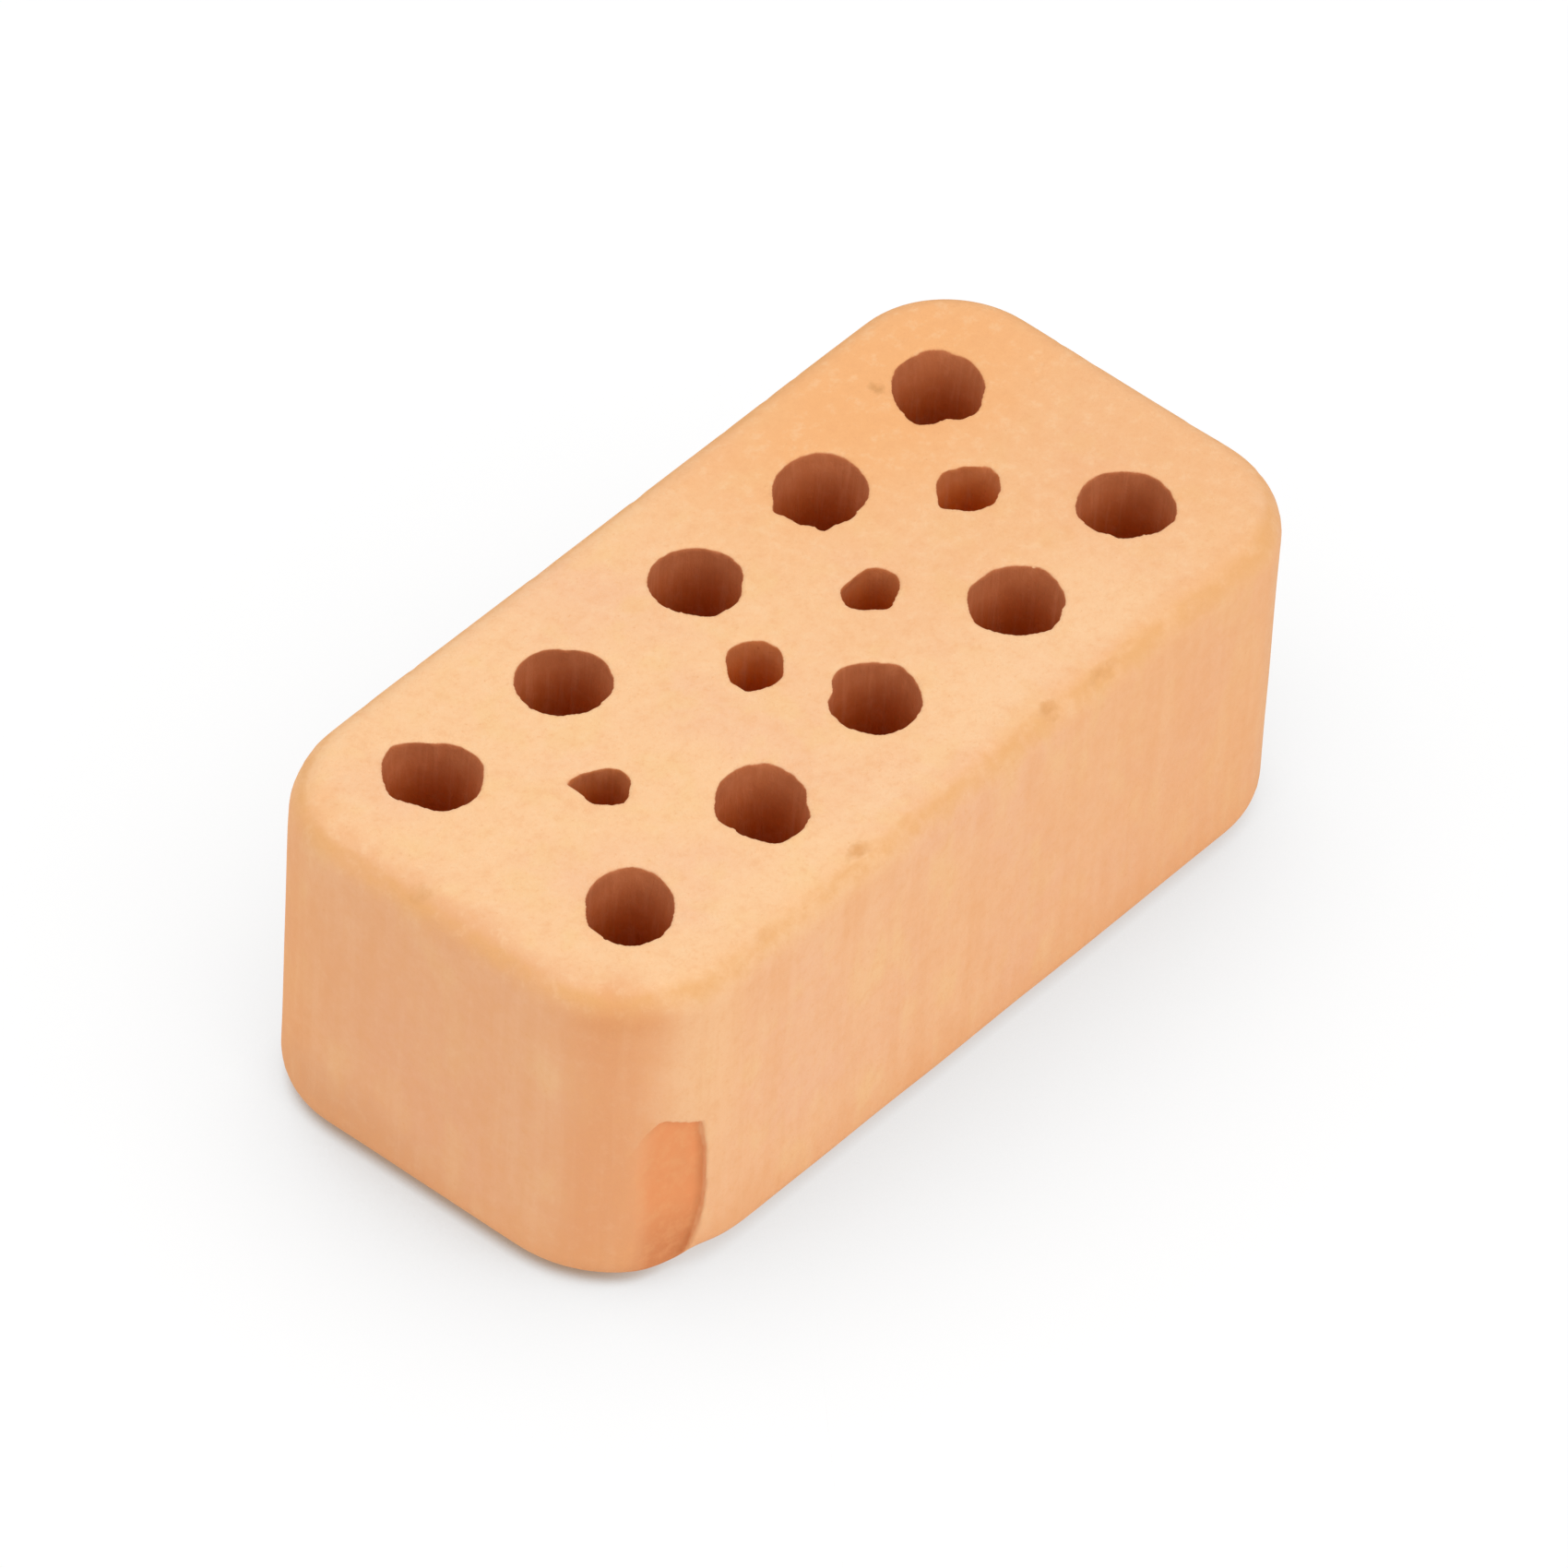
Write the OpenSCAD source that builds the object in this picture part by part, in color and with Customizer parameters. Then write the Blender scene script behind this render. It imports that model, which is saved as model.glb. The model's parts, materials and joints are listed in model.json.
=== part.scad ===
// Miniature perforated clay brick: one body of fired clay, pushed through a die
// that leaves two rows of large holes and a line of small ones between them, then
// cut to height by wire and worn round at every edge. Millimetres, +Z up.
// The origin is the middle of the face that the brick lies on, +X runs along its
// length, and the holes run along Z.

/* [Body] */
// Length of the brick
body_l = 65; // [40:0.5:120]
// Width of the brick, across its two rows of large holes
body_w = 32.3; // [28:0.1:40]
// Height of the brick, along its holes
body_h = 24.1; // [16:0.1:40]
// Radius of the four upright corners
corner_r = 8.5; // [5:0.1:11]
// Radius of the worn rims around the top and the bottom face
rim_r = 1.9; // [0.6:0.1:2.4]

/* [Large holes] */
// Diameter of a large hole
hole_d = 6; // [4.5:0.1:7]
// Distance from one column of large holes to the next
hole_pitch = 11.7; // [10.5:0.1:15]
// Distance between the two rows of large holes
row_spacing = 15.3; // [13:0.1:17]
// Least clay between an end of the brick and the nearest large hole
end_wall = 4; // [3:0.1:6]
// How far the hole pattern sits off the middle of the length
pattern_shift = -0.4; // [-1.2:0.1:1.2]
// How far the hole pattern sits off the middle of the width
pattern_side = 0.2; // [-0.6:0.1:0.6]

/* [Small holes] */
// Diameter of a small hole, one between each two columns
small_d = 3.9; // [2.5:0.1:4.6]

/* [Chip] */
// Width of the flake lost at the foot of one corner
chip_w = 4.6; // [2:0.1:6]
// Height of the lost flake, from the bed up
chip_h = 13; // [6:0.5:15]
// Depth of the lost flake, from the corner's round down
chip_depth = 0.65; // [0.3:0.05:1]
// Direction in which the flake faces, turned from the brick's end towards its long side
chip_turn = 71; // [30:1:80]
// How far the flake lies off that direction, towards the brick's end
chip_offset = 0.9; // [0:0.1:1.5]

/* [Hidden] */

// The die's pins stand a little off their grid: x and y of each from its place,
// from the end at -X on. Row A is the row at +Y, row B the one at -Y.
drift_a = [[0.1, 0.5], [0, -0.1], [0.4, -0.2], [-0.2, -0.6], [-0.1, 0.1]];
drift_b = [[-0.4, -0.3], [0.1, -0.4], [0.1, 0.6], [0.6, -0.2], [0, 0.4]];
drift_small = [[0.5, -0.1], [3.1, 0.1], [1.2, -0.8], [0.3, 0.7]];

straight_l = body_l - 2 * corner_r;
straight_w = body_w - 2 * corner_r;
columns = floor((body_l - 2 * end_wall - hole_d) / hole_pitch) + 1;
first_column = pattern_shift - (columns - 1) / 2 * hole_pitch;
cut_over = 1;
round_faces = 96;
clay = [0.93, 0.66, 0.45];

// Upright section of a block of the given width, with its rims rounded
module rimmed_section(width) {
    square([width - 2 * rim_r, body_h], center = true);
    square([width, body_h - 2 * rim_r], center = true);
    for (side = [-1, 1], level = [-1, 1])
        translate([side * (width / 2 - rim_r), level * (body_h / 2 - rim_r)])
            circle(r = rim_r, $fn = round_faces);
}

// Straight stretch of the body along Y, of the given width across X
module straight_block(width, run) {
    rotate([90, 0, 0])
        linear_extrude(height = run, center = true)
            rimmed_section(width);
}

// Quarter of a turned puck that makes one upright corner
module corner_block() {
    rotate_extrude(angle = 90, $fn = round_faces)
        intersection() {
            rimmed_section(2 * corner_r);
            translate([0, -body_h / 2])
                square([corner_r, body_h]);
        }
}

// The four corners, each turned to face outwards
module corner_blocks() {
    for (quarter = [0:3]) {
        side_x = (quarter == 0 || quarter == 3) ? 1 : -1;
        side_y = (quarter < 2) ? 1 : -1;
        translate([side_x * straight_l / 2, side_y * straight_w / 2, 0])
            rotate([0, 0, 90 * quarter])
                corner_block();
    }
}

// The body before it is perforated, standing on the bed face
module solid_body() {
    translate([0, 0, body_h / 2]) {
        rotate([0, 0, 90])
            straight_block(body_w, straight_l);
        straight_block(body_l, straight_w);
        corner_blocks();
    }
}

// One hole right through the height
module through_hole(place, diameter) {
    translate([place.x, place.y, -cut_over])
        cylinder(d = diameter, h = body_h + 2 * cut_over, $fn = round_faces);
}

// A row of large holes at y, each moved by its pin's drift
module hole_row(y, drift) {
    for (column = [0:columns - 1])
        through_hole([first_column + column * hole_pitch, y] + drift[column % len(drift)],
                     hole_d);
}

// The small holes, each between two columns on the middle line
module small_holes() {
    for (gap = [0:columns - 2])
        through_hole([first_column + (gap + 0.5) * hole_pitch, pattern_side]
                     + drift_small[gap % len(drift_small)], small_d);
}

// What broke away at the foot of the corner at -X and -Y, a flat flake
module chip() {
    translate([-straight_l / 2, -straight_w / 2, -cut_over])
        rotate([0, 0, 180 + chip_turn])
            translate([corner_r - chip_depth, -chip_w / 2 - chip_offset, 0])
                cube([chip_depth + cut_over, chip_w, chip_h + cut_over]);
}

module brick() {
    color(clay)
        difference() {
            solid_body();
            hole_row(pattern_side + row_spacing / 2, drift_a);
            hole_row(pattern_side - row_spacing / 2, drift_b);
            small_holes();
            chip();
        }
}

brick();
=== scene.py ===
import json
import math
import random

import bmesh
import bpy
from mathutils import Matrix, Vector, noise
from mathutils.kdtree import KDTree


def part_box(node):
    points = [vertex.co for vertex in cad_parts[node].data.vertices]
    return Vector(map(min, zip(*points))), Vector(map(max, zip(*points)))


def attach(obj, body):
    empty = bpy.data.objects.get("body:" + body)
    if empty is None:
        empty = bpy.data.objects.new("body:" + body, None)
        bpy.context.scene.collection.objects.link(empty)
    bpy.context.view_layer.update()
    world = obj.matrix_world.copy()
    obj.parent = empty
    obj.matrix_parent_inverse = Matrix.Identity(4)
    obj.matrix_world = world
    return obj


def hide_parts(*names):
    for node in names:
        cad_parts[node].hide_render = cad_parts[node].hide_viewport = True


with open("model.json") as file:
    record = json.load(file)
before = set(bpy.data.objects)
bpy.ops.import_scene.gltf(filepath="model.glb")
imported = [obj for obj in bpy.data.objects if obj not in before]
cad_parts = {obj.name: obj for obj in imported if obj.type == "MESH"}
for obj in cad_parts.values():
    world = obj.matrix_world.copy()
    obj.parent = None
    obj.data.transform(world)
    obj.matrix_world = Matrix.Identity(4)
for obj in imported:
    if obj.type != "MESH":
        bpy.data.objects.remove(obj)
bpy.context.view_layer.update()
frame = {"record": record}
low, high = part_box("brick")

# The brick is worked in millimetres and only brought down to metres at the end
mm = 0.001
random.seed(41)
noise.seed_set(41)    # noise_vector takes its offsets from this, and from the clock without it

# Two of the four small holes have no mount of their own in the record
plainHoles = {
    "small_hole_2": (-3.15, 0.3, 1.95),
    "small_hole_3": (6.65, -0.6, 1.95),
}


def readHoles():
    holes = {}
    for mount in frame["record"]["mounts"]:
        if mount["kind"] == "bore":
            x, y = mount["pos_m"][0] / mm, mount["pos_m"][1] / mm
            holes[mount["name"]] = (x, y, mount["dims"]["r_mm"])
    holes.update(plainHoles)
    return holes


holes = readHoles()
bodyHeight = (high.z - low.z) / mm


def makeObject(name, bm):
    mesh = bpy.data.meshes.new(name)
    bm.to_mesh(mesh)
    bm.free()
    obj = bpy.data.objects.new(name, mesh)
    bpy.context.scene.collection.objects.link(obj)
    return obj


def applyModifiers(obj):
    evaluated = obj.evaluated_get(bpy.context.evaluated_depsgraph_get())
    mesh = bpy.data.meshes.new_from_object(evaluated)
    mesh.name = obj.name
    obj.modifiers.clear()
    obj.data = mesh


def hill(offset, width):
    # 1 in the middle, and nearly 0 from two widths on
    return math.exp(-(offset / width) ** 2)


def step(value, start, end):
    t = min(max((value - start) / (end - start), 0), 1)
    return t * t * (3 - 2 * t)


# The block as it left the die, with each corner worn to its own radius
blockSettings = {
    "spare": (0.06, 0.11, 0.02),     # how far each side starts inside the outline
    "cornerRadii": {(1, 1): 7.2, (-1, 1): 7.8, (-1, -1): 9.0, (1, -1): 8.2},
    "cornerSegments": 16,
    "topRim": 2.0,
    "bedRim": 2.2,
    "rimSegments": 8,
}


def makeBlock():
    s = blockSettings
    size = (high - low) / mm - Vector(s["spare"]) * Vector((2, 2, 1))
    bm = bmesh.new()
    bmesh.ops.create_cube(bm, size=1)
    bmesh.ops.translate(bm, vec=(0, 0, 0.5), verts=bm.verts)
    bmesh.ops.scale(bm, vec=size, verts=bm.verts)
    for (sideX, sideY), radius in s["cornerRadii"].items():
        upright = [e for e in bm.edges if abs(e.verts[0].co.z - e.verts[1].co.z) > 1
                   and e.verts[0].co.x * sideX > 0 and e.verts[0].co.y * sideY > 0]
        bmesh.ops.bevel(bm, geom=upright, offset=radius, offset_type="OFFSET",
                        segments=s["cornerSegments"], profile=0.5, affect="EDGES", material=-1)
    for level, radius in ((size.z, s["topRim"]), (0, s["bedRim"])):
        rim = [e for e in bm.edges if all(abs(v.co.z - level) < 0.001 for v in e.verts)]
        bmesh.ops.bevel(bm, geom=rim, offset=radius, offset_type="OFFSET",
                        segments=s["rimSegments"], profile=0.5, affect="EDGES", material=-1)
    return makeObject("fired_brick", bm)


# Each mouth was torn a little as the wire cut through the clay. A mark is its
# direction and half width in degrees, then how far out it reaches and how deep, in mm
boreSettings = {
    "sides": 96,
    "depths": (0, 0.12, 0.3, 0.6, 1.0, 1.7, 2.7, 4.2, 6.5, 9.5),
    "past": 1.5,             # the cutter runs this far past both faces
    "wander": 0.05,          # slow change of the radius round a bore
    "ragged": 0.03,          # quick change of the radius at the mouth
    "bedRagged": 0.25,
    "raggedReach": 0.9,
    "drag": (0.15, 0.12),    # the wire dragged the mouths this way
    "dragReach": 2.5,
    "burr": 0.05,            # and drew their edges in by this much
    "burrReach": 0.5,
}

mouthMarks = {
    "hole_a1": [(285, 50, 0.4, 2.5), (338, 18, 0.29, 2.5), (80, 14, 0.25, 2), (42, 18, -0.35, 2.5),
                (135, 25, -0.27, 2.5), (202, 20, -0.28, 2), (240, 14, 0.16, 1.5)],
    "hole_a2": [(38, 22, -0.32, 2.5), (190, 20, 0.09, 1.5), (235, 12, -0.12, 2),
                (75, 18, -0.12, 1.5), (270, 18, -0.1, 1.5)],
    "hole_a3": [(60, 45, -0.18, 2), (240, 14, 0.28, 1.5), (308, 16, -0.29, 2), (15, 18, -0.09, 1.5),
                (270, 18, 0.09, 1.5)],
    "hole_a4": [(35, 34, 0.56, 2), (162, 11, 0.55, 1.4), (195, 12, 0.33, 2), (223, 9, 0.57, 1.6),
                (285, 18, -0.31, 2), (315, 18, -0.08, 1.5)],
    "hole_a5": [(42, 26, 0.75, 2), (5, 14, 0.28, 1.5), (88, 12, 0.13, 1), (135, 25, -0.19, 2),
                (195, 13, 0.46, 1.8), (232, 11, -0.48, 2), (305, 20, -0.3, 2), (255, 18, -0.1, 1.5),
                (345, 18, 0.08, 1.5)],
    "hole_b1": [(30, 30, 0.6, 2.5), (130, 35, -0.66, 2.5), (178, 18, -0.23, 2), (232, 20, 0.17, 1.5),
                (310, 20, -0.21, 2), (90, 18, -0.11, 1.5)],
    "hole_b2": [(40, 34, 0.58, 2), (125, 20, -0.22, 2), (180, 15, -0.25, 2), (240, 18, 0.45, 1.6),
                (272, 14, 0.17, 1.3), (320, 14, -0.36, 2)],
    "hole_b3": [(15, 12, 0.15, 1.5), (80, 10, 0.17, 1), (120, 16, -0.43, 2), (185, 18, 0.16, 2),
                (228, 28, 0.29, 1.5), (325, 26, -0.23, 2), (285, 18, -0.09, 1.5)],
    "hole_b4": [(12, 22, 0.34, 2), (85, 14, -0.16, 2), (170, 16, 0.23, 1.6), (262, 10, 0.15, 1),
                (300, 14, -0.18, 2), (45, 18, 0.12, 1.5)],
    "hole_b5": [(75, 16, 0.05, 1.6), (145, 18, 0.22, 1.6), (198, 8, -0.24, 2), (240, 18, -0.2, 2),
                (295, 18, 0.14, 1.5)],
    "small_hole_1": [(60, 40, -0.58, 2), (165, 35, -0.61, 2), (225, 30, -0.5, 2),
                     (310, 28, -0.33, 2), (116, 10, 0.42, 0.6), (135, 18, -0.13, 1.5),
                     (255, 18, -0.1, 1.5)],
    "small_hole_2": [(22, 30, 0.2, 1.5), (128, 26, -0.32, 2), (210, 26, 0.44, 1.5),
                     (318, 24, -0.25, 2), (255, 18, 0.12, 1.5), (180, 18, 0.09, 1.5)],
    "small_hole_3": [(8, 18, 0.13, 1.2), (90, 32, -0.61, 2), (175, 16, 0.15, 1.5),
                     (225, 18, -0.22, 2), (295, 30, -0.39, 2), (330, 18, -0.14, 1.5),
                     (60, 18, -0.1, 1.5)],
    "small_hole_4": [(5, 20, 0.5, 1.3), (88, 8, 0.09, 1), (172, 15, 0.52, 1.3),
                     (300, 18, -0.12, 1.5), (255, 18, -0.09, 1.5)],
}


def boreLevels():
    s = boreSettings
    down = [bodyHeight - d for d in s["depths"]]
    return [-s["past"]] + list(s["depths"]) + down[::-1] + [bodyHeight + s["past"]]


def boreRadius(name, radius, angle, level):
    s = boreSettings
    upper = level > bodyHeight / 2
    depth = max(min(level, bodyHeight - level), 0)
    seed = Vector((sum(map(ord, name)) * 0.37, 0, 0))
    around = Vector((math.cos(angle), math.sin(angle), 0)) * radius
    r = radius + s["wander"] * noise.noise(around * 0.45 + Vector((0, 0, level * 0.05)) + seed)
    ragged = s["ragged"] if upper else s["bedRagged"]
    turn = around * (1.7 if upper else 0.9) + Vector((0, 0, level * 0.8))
    r += ragged * math.exp(-depth / s["raggedReach"]) * noise.noise(turn + seed)
    r -= s["burr"] * math.exp(-depth / s["burrReach"])
    if upper:
        drag = s["drag"][0] * math.cos(angle) + s["drag"][1] * math.sin(angle)
        r += drag * math.exp(-depth / s["dragReach"])
        for direction, width, reach, deep in mouthMarks.get(name, []):
            away = (math.degrees(angle) - direction + 180) % 360 - 180
            r += reach * hill(away, width) * math.exp(-depth / deep)
    return r


def addBore(bm, name, x, y, radius):
    levels = boreLevels()
    ring = bmesh.ops.create_circle(bm, segments=boreSettings["sides"], radius=1,
                                   matrix=Matrix.Translation((0, 0, levels[0])))["verts"]
    tube = list(ring)
    rim = list({e for v in ring for e in v.link_edges})
    bmesh.ops.contextual_create(bm, geom=rim)
    for level in levels[1:]:
        made = bmesh.ops.extrude_edge_only(bm, edges=rim)["geom"]
        ring = [g for g in made if isinstance(g, bmesh.types.BMVert)]
        rim = [g for g in made if isinstance(g, bmesh.types.BMEdge) and all(v in ring for v in g.verts)]
        for vert in ring:
            vert.co.z = level
        tube += ring
    bmesh.ops.contextual_create(bm, geom=rim)
    for vert in tube:
        angle = math.atan2(vert.co.y, vert.co.x)
        r = boreRadius(name, radius, angle, vert.co.z)
        vert.co.x, vert.co.y = x + r * math.cos(angle), y + r * math.sin(angle)


def makeBoreCutters():
    bm = bmesh.new()
    for name, (x, y, radius) in holes.items():
        addBore(bm, name, x, y, radius)
    bmesh.ops.recalc_face_normals(bm, faces=bm.faces)
    return makeObject("bore_cutters", bm)


# A flat flake is gone from the foot of the front corner. It runs out to nothing at its
# left, and at its right it ends in a sharp step that bows outwards at mid height
chipSettings = {
    "corner": (-24.0, -7.65),
    "turn": 251,             # direction in which the flake faced
    "floor": 7.56,           # how far its floor lies from the corner's middle
    "left": -3.9,
    "right": 1.5,
    "bowAt": 7.0,            # height at which the step stands furthest out
    "lowBow": 0.035,
    "highBow": 0.012,
    "top": 13.3,
    "slant": 0.35,           # how much the top falls per mm to the right
    "roundFrom": -0.9,       # and its left end is rounded down
    "round": 0.5,
    "thickness": 4,          # the cutter's own, and how far it starts below the bed
    "below": 2,
    "cuts": 22,
    "roughness": 0.16,       # waves and grit of the floor, in mm
    "grit": 0.07,
    "evenReach": 0.8,        # the waves fade out this near to the step
    "stepWave": 0.1,
    "topWave": 0.2,
    "topFrom": 4,            # height from which the shape of the top fades in
}


def makeChipCutter():
    s = chipSettings
    width, height = s["right"] - s["left"], s["top"] + s["below"]
    bm = bmesh.new()
    bmesh.ops.create_cube(bm, size=1)
    bmesh.ops.translate(bm, vec=(0.5, 0.5, 0.5), verts=bm.verts)
    bmesh.ops.scale(bm, vec=(s["thickness"], width, height), verts=bm.verts)
    bmesh.ops.subdivide_edges(bm, edges=bm.edges, cuts=s["cuts"], use_grid_fill=True)
    bmesh.ops.translate(bm, vec=(s["floor"], s["left"], -s["below"]), verts=bm.verts)
    for vert in bm.verts:
        x, y, z = vert.co
        edge = step(y, s["right"] - s["evenReach"], s["right"])
        vert.co.x += s["roughness"] * noise.noise(Vector((3, y * 0.7, z * 0.45))) * (1 - edge)
        vert.co.x += s["grit"] * noise.noise(Vector((5, y * 1.9, z * 1.9)))
        across = (y - s["left"]) / width
        vert.co.y -= across * s["lowBow"] * max(s["bowAt"] - z, 0) ** 2
        vert.co.y -= across * s["highBow"] * max(z - s["bowAt"], 0) ** 2
        vert.co.y += s["stepWave"] * noise.noise(Vector((9, x * 0.3, z * 0.8)))
        fall = s["slant"] * y + s["round"] * max(s["roundFrom"] - y, 0) ** 2
        wave = s["topWave"] * noise.noise(Vector((13, y * 0.9, 2)))
        vert.co.z += step(z, s["topFrom"], s["top"]) * (wave - fall)
    turn = Matrix.Rotation(math.radians(s["turn"]), 4, "Z")
    bmesh.ops.transform(bm, matrix=Matrix.Translation((*s["corner"], 0)) @ turn, verts=bm.verts)
    return makeObject("chip_cutter", bm)


def cutBrick(brick):
    for cutter in (makeBoreCutters(), makeChipCutter()):
        cut = brick.modifiers.new("cut", "BOOLEAN")
        cut.operation, cut.solver, cut.object = "DIFFERENCE", "EXACT", cutter
        applyModifiers(brick)
        bpy.data.objects.remove(cutter)


# Relief that the die, the wire and years of handling left on the skin
reliefSettings = {
    "voxel": 0.2,
    "smoothing": 1,
    "triangles": 196000,
    "warpSize": 26, "warp": 0.1,
    "swellSize": 7, "swell": 0.04,
    "streakPitch": 0.9, "streakRise": 0.05, "streak": 0.022,
    "sideSlope": (0.15, 0.5),    # streaks fade out over this share of a normal's height
    "nibble": 0.132, "nibbleFrom": 0.12,
    "nibbleGap": (0.8, 1.6),     # rims are nibbled from this far off a bore
    "nibbleHeight": (2, 20),     # and more towards the top
    "boreStreakPitch": 0.55, "boreStreakRise": 0.07, "boreStreak": 0.06, "boreStreakReach": 8,
    "boreWall": (0.7, 1.2),      # how far from a bore its wall's streaks fade
    "wallSlope": 0.6,            # steeper than this is wall
    "boreMark": (0.9, 1.7),      # how far from a bore the mark for its colours fades
}

# Dents and worn places on the rims: x, y, z, radius, depth, and how far drawn out along x
dents = [
    (6.3, -15.0, 23.9, 0.5, 0.14, 1.4), (11.2, -15.2, 23.75, 0.45, 0.12, 2.2),
    (13.7, -14.9, 23.9, 0.35, 0.07, 2.0), (4.1, -14.9, 23.9, 0.35, 0.05, 2.0),
    (-6.8, -14.9, 23.9, 0.4, 0.07, 2.0), (-10.8, -14.6, 24.0, 0.42, 0.12, 2.4),
    (-15.4, -14.9, 23.9, 0.35, 0.06, 2.0), (-20.0, -14.9, 23.9, 0.4, 0.05, 2.0),
    (-31.2, 2.3, 23.8, 0.6, 0.1, 1.0), (-31.7, -4.2, 23.4, 0.5, 0.06, 1.0),
    (-29.3, 11.5, 24.1, 0.5, 0.07, 1.0), (20.6, 10.9, 24.1, 0.3, 0.14, 1.3),
    (-25.3, -15.8, 0.7, 2.5, 0.5, 1.2), (-27.6, 14.7, 23.3, 3.2, 0.2, 1.0),
]


# Small pits, scattered over every face, and nibbled lips round the mouths
pitSettings = {
    "onFlats": 70, "onSides": 70, "onEnds": 40,
    "length": 32, "width": 16, "endWidth": 15, "end": 32.35,    # how far they lie from the middle
    "heights": (1, 23),
    "radius": (0.2, 0.36), "depth": (0.03, 0.08), "drawn": (0.8, 1.5),
    "lipsPerMm": 2,                                             # of a bore's radius
    "lipPlace": 1.03, "lipRadius": (0.2, 0.4), "lipDepth": (0.03, 0.09),
}


def looseMarks():
    s = pitSettings
    pick, spread = random.choice, random.uniform
    length, width, endWidth = [(-s[key], s[key]) for key in ("length", "width", "endWidth")]
    marks = []
    for _ in range(s["onFlats"]):
        marks.append((spread(*length), spread(*width), pick((bodyHeight, 0)),
                      spread(*s["radius"]), spread(*s["depth"]), spread(*s["drawn"])))
    for _ in range(s["onSides"]):
        marks.append((spread(*length), pick(width), spread(*s["heights"]),
                      spread(*s["radius"]), spread(*s["depth"]), 1))
    for _ in range(s["onEnds"]):
        marks.append((pick((-s["end"], s["end"])), spread(*endWidth), spread(*s["heights"]),
                      spread(*s["radius"]), spread(*s["depth"]), 1))
    for x, y, radius in holes.values():
        lip = radius * s["lipPlace"]
        for face in (bodyHeight, 0):
            for _ in range(int(radius * s["lipsPerMm"])):
                angle = spread(0, 2 * math.pi)
                marks.append((x + lip * math.cos(angle), y + lip * math.sin(angle), face,
                              spread(*s["lipRadius"]), spread(*s["lipDepth"]), 1))
    return marks


def carveRelief(brick):
    s = reliefSettings
    bm = bmesh.new()
    bm.from_mesh(brick.data)
    for _ in range(s["smoothing"]):
        bmesh.ops.smooth_vert(bm, verts=bm.verts, factor=0.5,
                              use_axis_x=True, use_axis_y=True, use_axis_z=True)
    bm.normal_update()
    bores = KDTree(len(holes))
    radii = [radius for x, y, radius in holes.values()]
    for index, (x, y, radius) in enumerate(holes.values()):
        bores.insert((x, y, 0), index)
    bores.balance()
    nearBore = bm.verts.layers.float.new("bore")
    for vert in bm.verts:
        place, out = vert.co.copy(), vert.normal.copy()
        axis, index, distance = bores.find((place.x, place.y, 0))
        gap = distance - radii[index]
        vert[nearBore] = 1 - step(gap, *s["boreMark"])
        flat = abs(out.z)
        wall = 1 - step(gap, *s["boreWall"]) if flat < s["wallSlope"] else 0
        side = (1 - step(flat, *s["sideSlope"])) * (1 - wall)
        rim = 4 * flat * flat * (1 - flat * flat)
        rim *= step(gap, *s["nibbleGap"]) * step(place.z, *s["nibbleHeight"])
        amount = s["swell"] * noise.noise(place / s["swellSize"])
        along = Vector((place.x, place.y, place.z * s["streakRise"])) / s["streakPitch"]
        amount += side * s["streak"] * (noise.noise(along) + 0.6 * noise.noise(along * 2.3))
        nibble = noise.noise(place * 0.75 + Vector((31, 0, 0)))
        amount -= rim * s["nibble"] * max(nibble - s["nibbleFrom"], 0)
        if wall:
            run = Vector((place.x, place.y, place.z * s["boreStreakRise"])) / s["boreStreakPitch"]
            fade = math.exp(-min(place.z, bodyHeight - place.z) / s["boreStreakReach"])
            amount += wall * fade * s["boreStreak"] * (noise.noise(run) + 0.5 * noise.noise(place * 1.3))
        vert.co = place + out * amount
        warp = noise.noise_vector(place / s["warpSize"] + Vector((7, 3, 0))) * s["warp"]
        warp.z = 0
        vert.co += warp
    pressMarks(bm, dents + looseMarks())
    for vert in bm.verts:
        vert.co = [min(max(vert.co[i], low[i] / mm), high[i] / mm) for i in range(3)]
    bm.to_mesh(brick.data)
    bm.free()


markSettings = {
    "reach": 1.7,           # in a mark's own radii, as is its core
    "core": 0.75,
    "ragged": 0.45,
    "raggedScale": 0.9,
    "seeds": 50,
}


def pressMarks(bm, marks):
    s = markSettings
    bm.normal_update()
    bm.verts.ensure_lookup_table()
    tree = KDTree(len(bm.verts))
    for index, vert in enumerate(bm.verts):
        tree.insert(vert.co, index)
    tree.balance()
    for x, y, z, radius, depth, drawn in marks:
        middle = Vector((x, y, z))
        shape = Vector((random.uniform(0, s["seeds"]), 0, 0))
        near = tree.find_range(middle, radius * drawn * s["reach"])
        # one direction for the whole mark, so that no edge folds over
        outward = sum((bm.verts[index].normal for place, index, distance in near), Vector()).normalized()
        for place, index, distance in near:
            vert = bm.verts[index]
            offset = place - middle
            offset.x /= drawn
            ragged = 1 + s["ragged"] * noise.noise(place / radius * s["raggedScale"] + shape)
            vert.co -= outward * depth * hill(offset.length * ragged, radius * s["core"])


def countTriangles(obj):
    return sum(len(polygon.vertices) - 2 for polygon in obj.data.polygons)


def finishMesh(brick):
    thin = brick.modifiers.new("thin", "DECIMATE")
    thin.ratio = reliefSettings["triangles"] / countTriangles(brick)
    applyModifiers(brick)
    bm = bmesh.new()
    bm.from_mesh(brick.data)
    bmesh.ops.scale(bm, vec=(mm, mm, mm), verts=bm.verts)
    bm.to_mesh(brick.data)
    bm.free()
    brick.data.shade_smooth()
    print("triangles", countTriangles(brick))


print("block")
brick = makeBlock()
print("bores and chip")
cutBrick(brick)
print("relief")
grid = brick.modifiers.new("grid", "REMESH")
grid.mode, grid.voxel_size = "VOXEL", reliefSettings["voxel"]
applyModifiers(brick)
print("vertices", len(brick.data.vertices))
carveRelief(brick)
finishMesh(brick)


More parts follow.
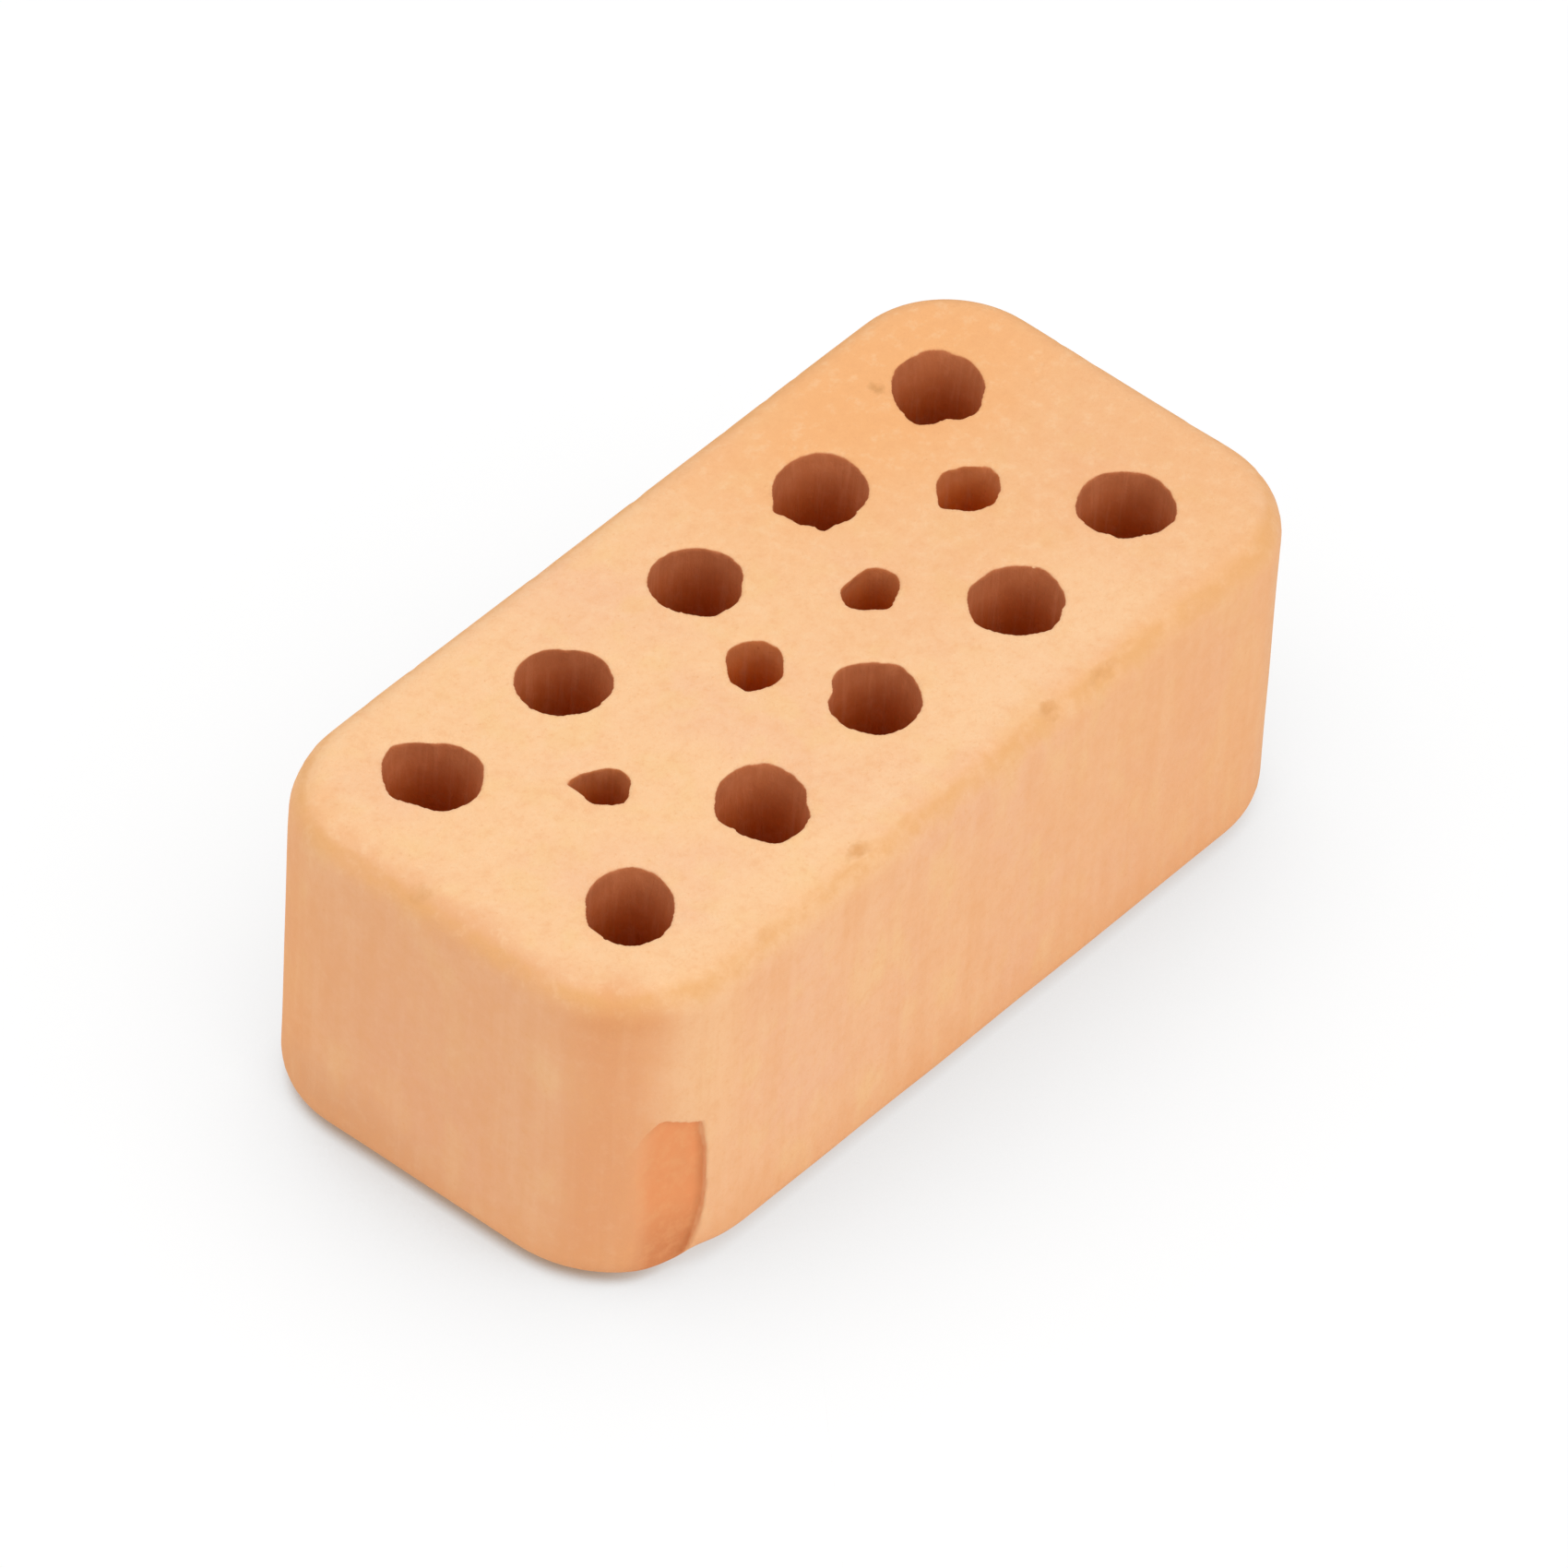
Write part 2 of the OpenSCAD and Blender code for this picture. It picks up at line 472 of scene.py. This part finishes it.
# Shader maths: a Signal is one output socket, and sums on it add Math nodes
class Signal:
    def __init__(self, board, socket):
        self.board = board
        self.socket = socket

    def maths(self, operation, left, right):
        return self.board.node("ShaderNodeMath", {"operation": operation}, {0: left, 1: right})

    def __add__(self, other):
        return self.maths("ADD", self, other)

    def __radd__(self, other):
        return self.maths("ADD", other, self)

    def __sub__(self, other):
        return self.maths("SUBTRACT", self, other)

    def __rsub__(self, other):
        return self.maths("SUBTRACT", other, self)

    def __mul__(self, other):
        return self.maths("MULTIPLY", self, other)

    def __rmul__(self, other):
        return self.maths("MULTIPLY", other, self)

    def __abs__(self):
        return self.board.node("ShaderNodeMath", {"operation": "ABSOLUTE"}, {0: self})


class Board:
    def __init__(self, owner):
        self.owner = owner
        owner.use_nodes = True
        self.tree = owner.node_tree
        self.tree.nodes.clear()

    def node(self, kind, settings=None, sockets=None, out=0):
        made = self.tree.nodes.new(kind)
        for key, value in (settings or {}).items():
            setattr(made, key, value)
        for key, value in (sockets or {}).items():
            if isinstance(value, Signal):
                self.tree.links.new(value.socket, made.inputs[key])
            else:
                made.inputs[key].default_value = value
        return Signal(self, made.outputs[out]) if made.outputs else None

    def noise(self, place, scale, detail=2, roughness=0.5, out=0):
        return self.node("ShaderNodeTexNoise", {"noise_dimensions": "3D"},
                         {"Vector": place, "Scale": scale, "Detail": detail, "Roughness": roughness}, out)

    def ramp(self, value, start, end, low=0.0, high=1.0):
        return self.node("ShaderNodeMapRange", {"interpolation_type": "SMOOTHSTEP"},
                         {"Value": value, "From Min": start, "From Max": end, "To Min": low, "To Max": high})

    def mix(self, factor, first, second, way="MIX"):
        return self.node("ShaderNodeMix", {"data_type": "RGBA", "blend_type": way},
                         {0: factor, 6: first, 7: second}, 2)

    def stretched(self, place, scale):
        return self.node("ShaderNodeMapping", {"vector_type": "POINT"}, {"Vector": place, "Scale": scale})

    def vector(self, operation, first, second, out=0):
        return self.node("ShaderNodeVectorMath", {"operation": operation}, {0: first, 1: second}, out)

    def larger(self, first, second):
        return self.node("ShaderNodeMath", {"operation": "MAXIMUM"}, {0: first, 1: second})

    def smaller(self, first, second):
        return self.node("ShaderNodeMath", {"operation": "MINIMUM"}, {0: first, 1: second})

    def axes(self, place):
        split = self.node("ShaderNodeSeparateXYZ", None, {0: place})
        return [Signal(self, socket) for socket in split.socket.node.outputs]

    def glow(self, colour, strength):
        return self.node("ShaderNodeEmission", None, {"Color": colour, "Strength": strength})

    def blend(self, factor, first, second):
        return self.node("ShaderNodeMixShader", None, {0: factor, 1: first, 2: second})

    def looked(self):
        # 1 where the camera looks, also in a mirror or through glass
        rays = [self.node("ShaderNodeLightPath", None, None, kind)
                for kind in ("Is Camera Ray", "Is Glossy Ray", "Is Transmission Ray")]
        return self.larger(rays[0], self.larger(rays[1], rays[2]))

    def away(self, place, middle, reach):
        # how far a place is from a spot, in the spot's own reaches
        offset = self.vector("DIVIDE", self.vector("SUBTRACT", place, middle), reach)
        return self.node("ShaderNodeVectorMath", {"operation": "LENGTH"}, {0: offset}, "Value")


# How coarse each pattern of the clay is, in turns per mm, and how strongly it shows
claySettings = {
    "clouds": 0.085, "pink": 0.4,
    "patches": 0.32, "yellow": 0.5, "brown": 0.25,
    "end": 0.5,                              # the end at +X is painted browner: painted shade and painted orange reflection
    "foot": 0.55, "footHeights": (0.5, 5.5),
    "streaks": 0.9, "streakDark": 0.26, "streakPale": 0.08, "streakRise": 0.05,
    "mottling": 1.1, "mottleDark": 0.3, "mottlePale": 0.3,
    "grain": 3.6, "grainDark": 0.35, "pits": 0.3,
    "sand": 7.0,
    "swirls": 1.3, "swirlReach": 1.2,        # they bend the outlines of the painted shade in the dents
    "rimShade": (0.3, 0.75),
    "stepShade": 0.35,
    "wallStreaks": 1.7, "wallRise": 0.09, "wallPale": 0.45, "wallMottle": 0.35,
    "wallFade": (0.4, 5.5), "smallWallFade": (0.4, 3.6),
    "smallRow": (3.1, 3.7),                  # small bores lie nearer to the middle line than this
    "roughness": (0.82, 0.95),
    "specular": 0.25,
    "bump": 0.05,
}

clayColours = {
    "face": (0.985, 0.600, 0.322, 1),
    # skin, the sides' colour, is painted darker and more saturated than face, the top's colour: a painted
    # shade on the sides
    "skin": (0.945, 0.520, 0.272, 1),
    "pale": (1.000, 0.680, 0.400, 1),
    "pink": (0.930, 0.515, 0.330, 1),
    "yellow": (0.960, 0.600, 0.285, 1),
    # foot is a browner tone, also used for the painted shade at the end towards +X
    "foot": (0.890, 0.430, 0.185, 1),
    # rim: the colour of the painted shade on the rims
    "rim": (0.860, 0.435, 0.165, 1),
    "fresh": (0.870, 0.335, 0.130, 1),
    "freshFoot": (0.720, 0.265, 0.100, 1),
    # step: the colour of the painted shade along the chip's step and under its top
    "step": (0.740, 0.290, 0.110, 1),
    # mouth, deep, smallMouth and smallDeep: painted shade on the bore walls, near the faces and further in
    "mouth": (0.600, 0.190, 0.068, 1),
    "deep": (0.650, 0.140, 0.014, 1),
    "smallMouth": (0.620, 0.194, 0.060, 1),
    "smallDeep": (0.760, 0.170, 0.010, 1),
    "wallPale": (0.740, 0.270, 0.115, 1),
    "pit": (0.560, 0.240, 0.090, 1),
    # the colour of the painted shade in the dents
    "dentShade": (0.760, 0.370, 0.140, 1),
}

# Painted light and shade, as soft clouds of colour in place: middle and reach in mm, colour, strength. The
# paler clouds are painted light, the darker ones painted shade, and the far one painted shade and orange
# reflection
paintedLightAndShade = {
    "frontCornerShade": ((-30.9, -12.2, 9.0), (3.8, 3.8, 26.0), (0.850, 0.370, 0.160, 1), 0.85),
    "frontBandShade": ((-29.6, -12.8, 20.6), (5.6, 5.6, 2.6), (0.840, 0.365, 0.150, 1), 0.40),
    "frontRimShade": ((-31.0, -12.5, 22.6), (4.6, 3.2, 1.8), (0.820, 0.350, 0.135, 1), 0.75),
    "frontPaintedLight": ((-25.6, -16.0, 17.5), (3.2, 3.0, 11.0), (0.975, 0.575, 0.300, 1), 0.7),
    "leftSideShade": ((-35.0, 0.0, 12.0), (6.5, 17.0, 22.0), (0.890, 0.430, 0.215, 1), 0.75),
    "leftEdgeShade": ((-30.8, 12.4, 11.0), (3.6, 4.6, 20.0), (0.900, 0.400, 0.150, 1), 0.6),
    "leftRimShade": ((-31.7, -1.0, 23.4), (1.7, 15.0, 1.3), (0.840, 0.405, 0.190, 1), 0.6),
    "leftFootShade": ((-33.0, 8.0, 1.5), (4.0, 12.0, 5.0), (0.790, 0.380, 0.185, 1), 0.75),
    "rightEdgeShade": ((30.5, -14.5, 12.0), (4.0, 3.6, 26.0), (0.850, 0.510, 0.300, 1), 0.6),
    "rightRimHighlight": ((2.0, -12.5, 24.1), (36.0, 1.4, 1.0), (1.000, 0.650, 0.365, 1), 0.35),
    "farShadeAndReflection": ((21.0, 10.5, 24.1), (18.0, 9.0, 3.0), (0.955, 0.475, 0.195, 1), 0.9),
    "farPaintedLight": ((12.0, -10.0, 24.1), (14.0, 5.0, 3.0), (1.000, 0.640, 0.365, 1), 0.5),
}

# Painted shade in the dents, as brown spots: middle and reach in mm, strength
dentShades = [
    ((6.3, -15.0, 23.9), (1.0, 0.8, 0.6), 0.9), ((11.2, -15.2, 23.8), (1.6, 0.6, 0.5), 0.6),
    ((-10.8, -14.6, 24.0), (1.2, 0.6, 0.6), 0.8), ((-20.0, -14.9, 23.9), (1.2, 0.6, 0.5), 0.2),
    ((-31.4, 2.2, 23.7), (0.8, 0.9, 0.7), 0.7), ((20.6, 10.9, 24.0), (0.5, 0.7, 0.6), 1.0),
]


def chipMasks(board, inMm, height, patch):
    # where the flake left fresh clay, and the painted shade along the foot of its step and under its top
    s = chipSettings
    angle = math.radians(s["turn"])
    outward, sideways = (math.cos(angle), math.sin(angle), 0), (-math.sin(angle), math.cos(angle), 0)
    corner = Vector((*s["corner"], 0))
    out = board.vector("DOT_PRODUCT", inMm, outward, "Value") - corner.dot(outward) - s["floor"]
    across = board.vector("DOT_PRODUCT", inMm, sideways, "Value") - corner.dot(sideways)
    below = board.larger(s["bowAt"] - height, 0.0)
    above = board.larger(height - s["bowAt"], 0.0)
    fromStep = across + s["lowBow"] * below * below + s["highBow"] * above * above - s["right"]
    leftEnd = board.larger(s["roundFrom"] - across, 0.0)
    fromTop = height + s["slant"] * across + s["round"] * leftEnd * leftEnd - s["top"]
    near = board.ramp(out, -0.6, -0.35) * board.ramp(fromTop, 0.0, 0.3, 1, 0)
    onFloor = near * board.ramp(out, 0.12, 0.3, 1, 0) * board.ramp(fromStep, -0.02, 0.12, 1, 0)
    fresh = onFloor * board.ramp(across + 1.6 * (patch - 0.5), -4.2, -1.6)
    paintedShade = near * board.ramp(fromStep, -0.6, -0.1) * board.ramp(fromStep, 0.05, 0.25, 1, 0)
    underTop = onFloor * board.ramp(fromTop, -1.1, -0.1)
    underTop = underTop * board.ramp(across, 0.2, -0.8) * board.ramp(across, -3.0, -2.0)
    return fresh, (paintedShade + underTop) * board.ramp(out, 0.45, 0.65, 1, 0)


def makeClay():
    c, s = clayColours, claySettings
    board = Board(bpy.data.materials.new("fired_clay"))
    place = board.node("ShaderNodeTexCoord", out="Object")
    upright = board.axes(board.node("ShaderNodeTexCoord", out="Normal"))[2]
    inMm = board.node("ShaderNodeVectorMath", {"operation": "SCALE"}, {0: place, "Scale": 1 / mm})
    length, breadth, height = board.axes(inMm)
    bore = board.node("ShaderNodeAttribute", {"attribute_name": "bore"}, None, "Fac")

    # broad tones: a top painted paler and sides painted darker and warmer, a painted shade on the sides;
    # clouds; painted light and shade in place; a browner foot; and painted shade at the end towards +X
    onFace = board.ramp(height, bodyHeight - 1.9, bodyHeight - 0.3)
    onSide = 1 - onFace
    paleShare = 0.3 + 0.7 * onFace
    cloud = board.noise(inMm, s["clouds"], 2, 0.55)
    patch = board.noise(board.stretched(inMm, (1.0, 1.0, 0.5)), s["patches"], 2, 0.6)
    # painted shade: the sides take the darker skin colour, the top the paler face colour
    colour = board.mix(onFace, c["skin"], c["face"])
    colour = board.mix(board.ramp(cloud, 0.45, 0.7, 0, s["pink"]), colour, c["pink"])
    colour = board.mix(board.ramp(patch, 0.48, 0.7, 0, s["yellow"]), colour, c["yellow"])
    colour = board.mix(board.ramp(patch, 0.5, 0.3, 0, s["brown"]) * onSide, colour, c["foot"])
    # painted shade and painted orange reflection at the end towards +X
    colour = board.mix(board.ramp(length + 9 * (cloud - 0.5), -14, 30, 0, s["end"]), colour, c["foot"])
    # painted light and shade, cloud by cloud
    for middle, reach, tint, strength in paintedLightAndShade.values():
        away = board.away(inMm, middle, reach)
        colour = board.mix(board.ramp(away + 0.6 * (patch - 0.5), 0.2, 1.25, strength, 0), colour, tint)
    foot = board.ramp(height + 3 * (patch - 0.5), *s["footHeights"], s["foot"], 0)
    colour = board.mix(foot, colour, c["foot"])

    # upright streaks from the die on the sides, and fine mottling everywhere
    run = board.noise(board.stretched(inMm, (1.0, 1.0, s["streakRise"])), s["streaks"], 3, 0.6)
    colour = board.mix(board.ramp(run, 0.45, 0.75, 0, s["streakDark"]) * onSide, colour, c["foot"])
    colour = board.mix(board.ramp(run, 0.5, 0.3, 0, s["streakPale"]) * onSide, colour, c["pale"])
    mottle = board.noise(inMm, s["mottling"], 3, 0.65)
    colour = board.mix(board.ramp(mottle, 0.48, 0.72, 0, s["mottleDark"]), colour, c["foot"])
    colour = board.mix(board.ramp(mottle, 0.5, 0.28, 0, s["mottlePale"]) * paleShare, colour, c["pale"])
    grain = board.noise(inMm, s["grain"], 3, 0.7)
    colour = board.mix(board.ramp(grain, 0.5, 0.78, 0, s["grainDark"]), colour, c["foot"])

    # painted shade on the rims, where the surface tips away from up and unevenly from patch to patch, and
    # painted shade in their dents
    rimTilt = upright + 0.09 * (patch - 0.5) + 0.04 * (mottle - 0.5)
    rimTilt = rimTilt + board.ramp(breadth, -14.2, -12.4, -0.04, 0.05)
    # painted shade on the rims, darker as the surface tips away from up
    rim = board.ramp(rimTilt, 1.01, 0.8) * board.ramp(upright, 0.15, 0.8) * (1 - bore)
    rimShadeShare = board.ramp(patch + 0.5 * (mottle - 0.5), 0.3, 0.65, *s["rimShade"])
    colour = board.mix(rim * rimShadeShare, colour, c["rim"])
    swirl = board.vector("SUBTRACT", board.noise(inMm, s["swirls"], 2, 0.5, "Color"), (0.5, 0.5, 0.5))
    stirred = board.vector("ADD", inMm, board.vector("MULTIPLY", swirl, [s["swirlReach"]] * 3))
    # painted shade in the dents
    for middle, reach, strength in dentShades:
        away = board.away(stirred, middle, reach)
        colour = board.mix(board.ramp(away, 0.1, 1.2, strength, 0), colour, c["dentShade"])
    colour = board.mix(board.ramp(grain, 0.7, 0.8) * s["pits"], colour, c["pit"])

    # fresh clay in the chip, with painted shade along its step and top
    fresh, paintedShade = chipMasks(board, inMm, height, patch)
    freshTone = board.mix(board.ramp(height, 1.5, 7.0), c["freshFoot"], c["fresh"])
    freshTone = board.mix(board.ramp(mottle, 0.4, 0.7, 0, 0.35), freshTone, c["foot"])
    colour = board.mix(fresh, colour, freshTone)
    colour = board.mix(paintedShade * s["stepShade"], colour, c["step"])

    # bore walls carry painted shade, darker and redder with depth, and are drawn lengthwise
    depth = board.smaller(height, bodyHeight - height)
    wall = board.mix(board.ramp(depth, *s["wallFade"]), c["mouth"], c["deep"])
    smallWall = board.mix(board.ramp(depth, *s["smallWallFade"]), c["smallMouth"], c["smallDeep"])
    wall = board.mix(board.ramp(abs(breadth), *s["smallRow"], 1, 0), wall, smallWall)
    drawn = board.noise(board.stretched(inMm, (1.0, 1.0, s["wallRise"])), s["wallStreaks"], 3, 0.65)
    wall = board.mix(board.ramp(drawn, 0.45, 0.75, 0, s["wallPale"]), wall, c["wallPale"])
    wall = board.mix(board.ramp(mottle, 0.45, 0.8, 0, s["wallMottle"]), wall, c["wallPale"])
    # where the painted bore shade shows: near a bore and on steep walls
    inside = board.ramp(bore, 0.3, 0.7) * board.ramp(abs(upright) + 0.25 * (grain - 0.5), 0.85, 0.45)
    colour = board.mix(inside, colour, wall)

    # a sandy surface
    rough = board.ramp(grain, 0.3, 0.7, *s["roughness"])
    sand = board.noise(inMm, s["sand"], 2, 0.6)
    relief = sand * 0.4 + grain * 0.6 + drawn * inside * 1.2
    bump = board.node("ShaderNodeBump", None,
                      {"Strength": 1.0, "Distance": s["bump"] * mm, "Height": relief})
    shader = board.node("ShaderNodeBsdfPrincipled", None, {
        "Base Color": colour, "Roughness": rough, "Normal": bump, "Specular IOR Level": s["specular"]})
    board.node("ShaderNodeOutputMaterial", None, {"Surface": shader})
    return board.owner


print("clay")
brick.data.materials.clear()
brick.data.materials.append(makeClay())
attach(brick, "root")
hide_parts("brick")


white = (1, 1, 1, 1)

# A plain white floor, large enough for every view. Seen directly it glows white, with a painted shadow:
# grey where the brick keeps the light off it, a painted dark contact line, and painted dark under the bores
floorSettings = {
    "size": 3.0,
    "colour": (0.93, 0.93, 0.93, 1),
    "reach": 0.04,                             # how far off the brick the painted shadow reaches
    "open": 1.02,
    # the grey of the painted shadow
    "paintedShade": 0.84,
    "shadeOver": (0.45, 0.92),                 # openness over which it turns from grey to white
    "contactShadowColour": (0.35, 0.23, 0.15, 1),          # painted contact shadow: the thin line where the brick meets the floor
    "contactOver": (0.56, 0.22),
    "contactFrom": (-0.025, -0.031),           # it is faint, and full only round the end at -X
    "contactFaint": 0.33,
    "share": 0.08,                             # how much of the floor's own shading shows as well
    "boreFloorShadow": (0.115, 0.046, 0.022, 1),         # painted shadow on the floor at the bottom of the bores
    "underReach": (0.0280, 0.0125, 0.0005),    # half length, half width and blur of that part
}


def makeFloor():
    s = floorSettings
    bm = bmesh.new()
    bmesh.ops.create_grid(bm, x_segments=1, y_segments=1, size=s["size"])
    floor = makeObject("floor", bm)
    board = Board(bpy.data.materials.new("white_floor"))
    lit = board.node("ShaderNodeBsdfDiffuse", None, {"Color": s["colour"]})
    openness = board.node("ShaderNodeAmbientOcclusion", {"samples": 10}, {"Distance": s["reach"]}, "AO")
    length, width, rise = board.axes(board.node("ShaderNodeTexCoord", out="Object"))
    # painted shadow: grey where the brick keeps the light off the floor, white in the open
    seen = board.blend(board.ramp(openness, *s["shadeOver"]), board.glow(white, s["paintedShade"]),
                       board.glow(white, s["open"]))
    atEnd = board.ramp(length, *s["contactFrom"], s["contactFaint"], 1.0)
    contactShadow = board.ramp(openness, *s["contactOver"]) * atEnd
    seen = board.blend(contactShadow, seen, board.glow(s["contactShadowColour"], 1.0))
    halfLength, halfWidth, blur = s["underReach"]
    inLength = board.ramp(abs(length), halfLength, halfLength - blur)
    inWidth = board.ramp(abs(width), halfWidth, halfWidth - blur)
    seen = board.blend(inLength * inWidth, seen, board.glow(s["boreFloorShadow"], 1.0))
    seen = board.blend(s["share"], seen, lit)
    board.node("ShaderNodeOutputMaterial", None, {"Surface": board.blend(board.looked(), lit, seen)})
    floor.data.materials.append(board.owner)


# Large soft lamps: azimuth and elevation in degrees, distance and size in metres,
# and the level that each gives a surface that faces it
lightSettings = {
    "world": 0.5,
    "lamps": {
        "right_lamp": (0, 38, 1.0, 0.7, 0.34),
        "left_lamp": (236, 38, 1.0, 0.8, 0.20),
        "top_lamp": (150, 78, 1.0, 0.9, 0.27),
    },
}


def makeWorld():
    world = bpy.data.worlds.new("studio")
    bpy.context.scene.world = world
    board = Board(world)
    sky = board.node("ShaderNodeBackground", None, {"Color": white, "Strength": lightSettings["world"]})
    seen = board.node("ShaderNodeBackground", None, {"Color": white, "Strength": 1.0})
    board.node("ShaderNodeOutputWorld", None, {"Surface": board.blend(board.looked(), sky, seen)})


def direction(azimuth, elevation):
    a, e = math.radians(azimuth), math.radians(elevation)
    return Vector((math.sin(a) * math.cos(e), -math.cos(a) * math.cos(e), math.sin(e)))


def makeLamps():
    middle = (low + high) / 2
    for name, (azimuth, elevation, distance, size, level) in lightSettings["lamps"].items():
        lamp = bpy.data.lights.new(name, "AREA")
        lamp.size = size
        lamp.energy = level * math.pi ** 2 * distance ** 2
        obj = bpy.data.objects.new(name, lamp)
        towards = direction(azimuth, elevation)
        obj.location = middle + towards * distance
        obj.rotation_mode = "QUATERNION"
        obj.rotation_quaternion = towards.to_track_quat("Z", "Y")
        obj.visible_camera = False
        bpy.context.scene.collection.objects.link(obj)


# The photograph was taken from here, with the camera tipped a little to its left.
# The lens is longer, so that the one brick fills the picture
cameraSettings = {
    "azimuth": -51.69,
    "elevation": 44.35,
    "distance": 1.060,
    "roll": 3.47,
    "lens": 400,
    "sensor": 36,
    "clip": (0.01, 20),
}


def makeCamera():
    s = cameraSettings
    camera = bpy.data.cameras.new("camera")
    camera.lens, camera.sensor_width = s["lens"], s["sensor"]
    camera.clip_start, camera.clip_end = s["clip"]
    obj = bpy.data.objects.new("camera", camera)
    back = direction(s["azimuth"], s["elevation"])
    obj.location = (low + high) / 2 + back * s["distance"]
    obj.rotation_mode = "QUATERNION"
    roll = Matrix.Rotation(math.radians(s["roll"]), 3, "Z").to_quaternion()
    obj.rotation_quaternion = back.to_track_quat("Z", "Y") @ roll
    bpy.context.scene.collection.objects.link(obj)
    bpy.context.scene.camera = obj


print("floor, lamps and camera")
makeFloor()
makeWorld()
makeLamps()
makeCamera()
bpy.context.scene.view_settings.view_transform = "Standard"
